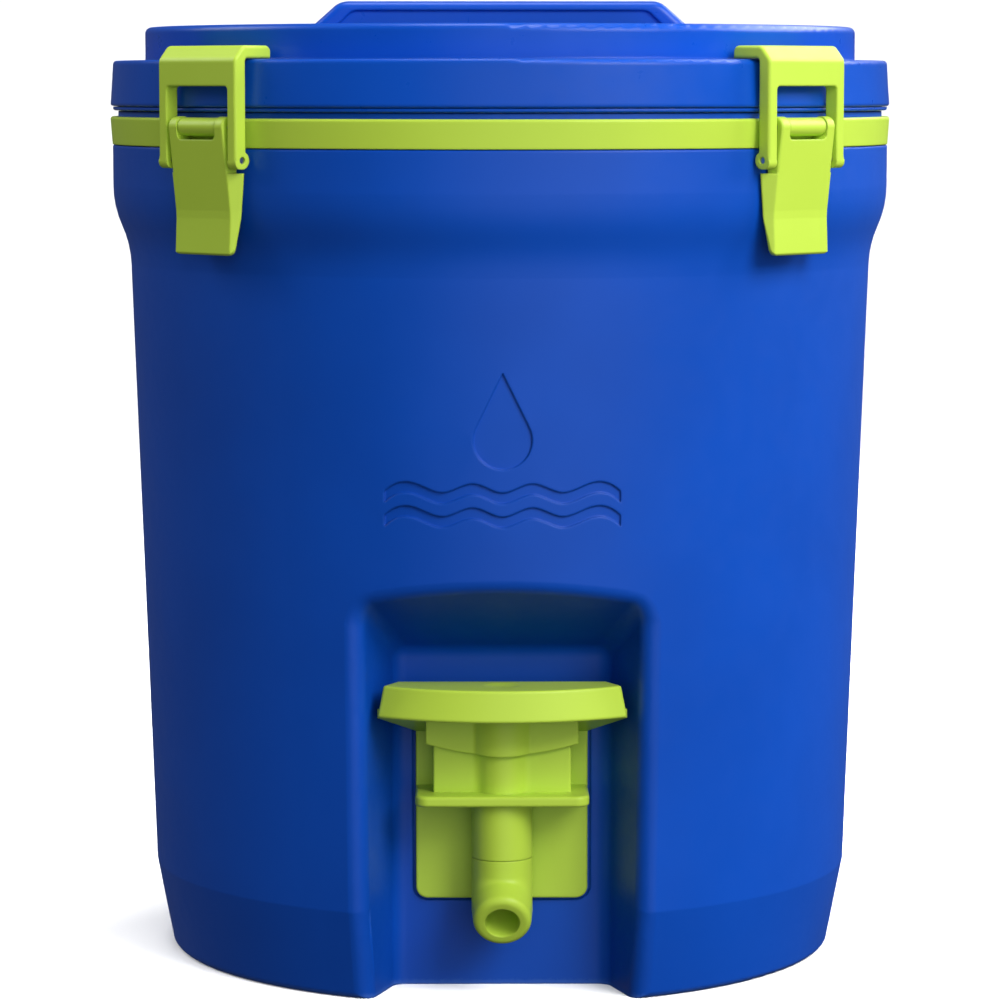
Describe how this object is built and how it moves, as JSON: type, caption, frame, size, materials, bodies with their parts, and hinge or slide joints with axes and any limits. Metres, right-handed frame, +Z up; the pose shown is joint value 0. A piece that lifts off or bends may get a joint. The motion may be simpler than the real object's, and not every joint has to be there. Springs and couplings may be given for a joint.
{
  "type": "insulated drinks jug",
  "caption": "Round foam-insulated drinks jug with a clamped lid, a carry handle, over-centre latches and a press-button spigot in a front alcove.",
  "frame": {"origin": "centre of the base, on the surface the jug stands on", "axes": "+Z up along the jug's own axis; the spigot faces -Y; +X is to the right of someone facing the spigot"},
  "size_m": [0.3122, 0.3122, 0.38],
  "materials": {
    "blue_shell": "satin",
    "blue_lid": "satin",
    "lime_plastic": "satin",
    "white_liner": "satin",
    "insulation_foam": "matte",
    "seal_rubber": "matte",
    "steel": "satin"
  },
  "bodies": {
    "jug": {"outer_shell": "blue_shell", "inner_liner": "white_liner", "body_foam": "insulation_foam", "foam_plug": "blue_shell", "collar_band": "lime_plastic", "spigot_body": "lime_plastic", "spout_nozzle": "lime_plastic", "stem_o_ring": "seal_rubber", "spigot_gasket": "seal_rubber", "tank_washer": "seal_rubber", "spigot_nut": "white_liner", "return_spring": "steel", "lever_pin_front_left": "steel", "lever_pin_front_right": "steel", "lever_pin_rear_right": "steel", "lever_pin_rear_left": "steel"},
    "lid": {"lid_shell": "blue_lid", "lid_pan": "blue_lid", "lid_foam": "insulation_foam", "lid_gasket": "seal_rubber", "carry_handle": "blue_lid", "handle_screws": "steel"},
    "button": {"spigot_button": "lime_plastic", "valve_stem": "white_liner", "valve_seal": "seal_rubber"},
    "lever_front_left": {"latch_lever_front_left": "lime_plastic", "bail_pin_front_left": "steel"},
    "bail_front_left": {"latch_bail_front_left": "lime_plastic"},
    "lever_front_right": {"latch_lever_front_right": "lime_plastic", "bail_pin_front_right": "steel"},
    "bail_front_right": {"latch_bail_front_right": "lime_plastic"},
    "lever_rear_right": {"latch_lever_rear_right": "lime_plastic", "bail_pin_rear_right": "steel"},
    "bail_rear_right": {"latch_bail_rear_right": "lime_plastic"},
    "lever_rear_left": {"latch_lever_rear_left": "lime_plastic", "bail_pin_rear_left": "steel"},
    "bail_rear_left": {"latch_bail_rear_left": "lime_plastic"}
  },
  "joints": [
    {"name": "lid_lift", "type": "slide", "parent": "jug", "child": "lid", "axis": [0, 0, 1], "range_m": [0, 0.18]},
    {"name": "button_press", "type": "slide", "parent": "jug", "child": "button", "axis": [0, 0, -1], "range_m": [0, 0.008], "stiffness_N_per_m": 600, "springref_m": -0.01, "deforming": ["return_spring"]},
    {"name": "lever_turn_front_left", "type": "hinge", "parent": "jug", "child": "lever_front_left", "pos_m": [-0.11243, -0.11243, 0.3312], "axis": [-0.7071, 0.7071, 0], "range_deg": [0, 120]},
    {"name": "bail_turn_front_left", "type": "hinge", "parent": "lever_front_left", "child": "bail_front_left", "pos_m": [-0.11201, -0.11201, 0.3188], "axis": [-0.7071, 0.7071, 0], "range_deg": [-108.5, 0]},
    {"name": "lever_turn_front_right", "type": "hinge", "parent": "jug", "child": "lever_front_right", "pos_m": [0.11243, -0.11243, 0.3312], "axis": [-0.7071, -0.7071, 0], "range_deg": [0, 120]},
    {"name": "bail_turn_front_right", "type": "hinge", "parent": "lever_front_right", "child": "bail_front_right", "pos_m": [0.11201, -0.11201, 0.3188], "axis": [-0.7071, -0.7071, 0], "range_deg": [-108.5, 0]},
    {"name": "lever_turn_rear_right", "type": "hinge", "parent": "jug", "child": "lever_rear_right", "pos_m": [0.11243, 0.11243, 0.3312], "axis": [0.7071, -0.7071, 0], "range_deg": [0, 120]},
    {"name": "bail_turn_rear_right", "type": "hinge", "parent": "lever_rear_right", "child": "bail_rear_right", "pos_m": [0.11201, 0.11201, 0.3188], "axis": [0.7071, -0.7071, 0], "range_deg": [-108.5, 0]},
    {"name": "lever_turn_rear_left", "type": "hinge", "parent": "jug", "child": "lever_rear_left", "pos_m": [-0.11243, 0.11243, 0.3312], "axis": [0.7071, 0.7071, 0], "range_deg": [0, 120]},
    {"name": "bail_turn_rear_left", "type": "hinge", "parent": "lever_rear_left", "child": "bail_rear_left", "pos_m": [-0.11201, 0.11201, 0.3188], "axis": [0.7071, 0.7071, 0], "range_deg": [-108.5, 0]}
  ],
  "couplings": [
    {"joint": "bail_turn_front_left", "follows": "lever_turn_front_left", "ratio": -0.9},
    {"joint": "bail_turn_front_right", "follows": "lever_turn_front_right", "ratio": -0.9},
    {"joint": "bail_turn_rear_right", "follows": "lever_turn_rear_right", "ratio": -0.9},
    {"joint": "bail_turn_rear_left", "follows": "lever_turn_rear_left", "ratio": -0.9}
  ]
}
